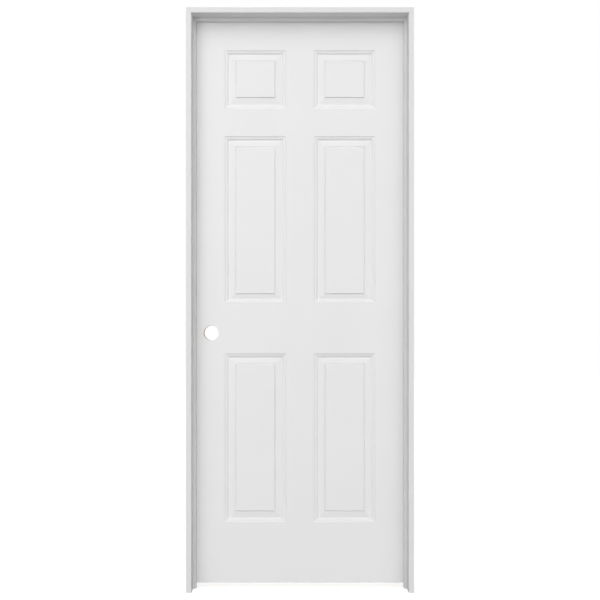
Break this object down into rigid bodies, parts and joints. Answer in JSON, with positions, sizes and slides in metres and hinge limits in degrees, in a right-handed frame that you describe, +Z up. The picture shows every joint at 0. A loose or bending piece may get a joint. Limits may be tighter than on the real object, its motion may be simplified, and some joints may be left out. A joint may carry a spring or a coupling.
{
  "type": "prehung interior door",
  "caption": "White moulded raised-panel hollow-core interior door hung on butt hinges in a flat jamb with applied stops, bored for a lockset.",
  "frame": {"origin": "on the floor line, in the middle of the unit's width and of its depth over the hinge barrels", "axes": "+Z up, +X towards the hinge jamb, +Y towards the side that the leaf opens to"},
  "size_m": [0.8066, 0.1356, 2.0701],
  "materials": {
    "primed_jamb": "factory primed white, satin",
    "primed_skin": "factory primed white moulded fibreboard, satin",
    "primed_stile": "primed edge of softwood stile",
    "raw_softwood": "planed and unfinished",
    "core_card": "kraft card",
    "hinge_steel": "satin nickel plated steel",
    "staple_steel": "galvanised wire"
  },
  "bodies": {
    "frame": {"hinge_jamb": "primed_jamb", "strike_jamb": "primed_jamb", "head_jamb": "primed_jamb", "hinge_stop": "primed_jamb", "strike_stop": "primed_jamb", "head_stop": "primed_jamb", "head_joint_staples": "staple_steel", "top_hinge_jamb_leaf": "hinge_steel", "middle_hinge_jamb_leaf": "hinge_steel", "bottom_hinge_jamb_leaf": "hinge_steel", "top_hinge_pin": "hinge_steel", "middle_hinge_pin": "hinge_steel", "bottom_hinge_pin": "hinge_steel", "top_hinge_jamb_screws": "hinge_steel", "middle_hinge_jamb_screws": "hinge_steel", "bottom_hinge_jamb_screws": "hinge_steel"},
    "door": {"front_skin": "primed_skin", "rear_skin": "primed_skin", "hinge_stile": "primed_stile", "lock_stile": "primed_stile", "top_rail": "raw_softwood", "bottom_rail": "raw_softwood", "lock_block": "raw_softwood", "honeycomb_core": "core_card", "top_hinge_door_leaf": "hinge_steel", "middle_hinge_door_leaf": "hinge_steel", "bottom_hinge_door_leaf": "hinge_steel", "top_hinge_door_screws": "hinge_steel", "middle_hinge_door_screws": "hinge_steel", "bottom_hinge_door_screws": "hinge_steel"}
  },
  "joints": [
    {"name": "door_swing", "type": "hinge", "parent": "frame", "child": "door", "pos_m": [0.3826, 0.06234, 0], "axis": [0, 0, -1], "range_deg": [0, 180]}
  ]
}
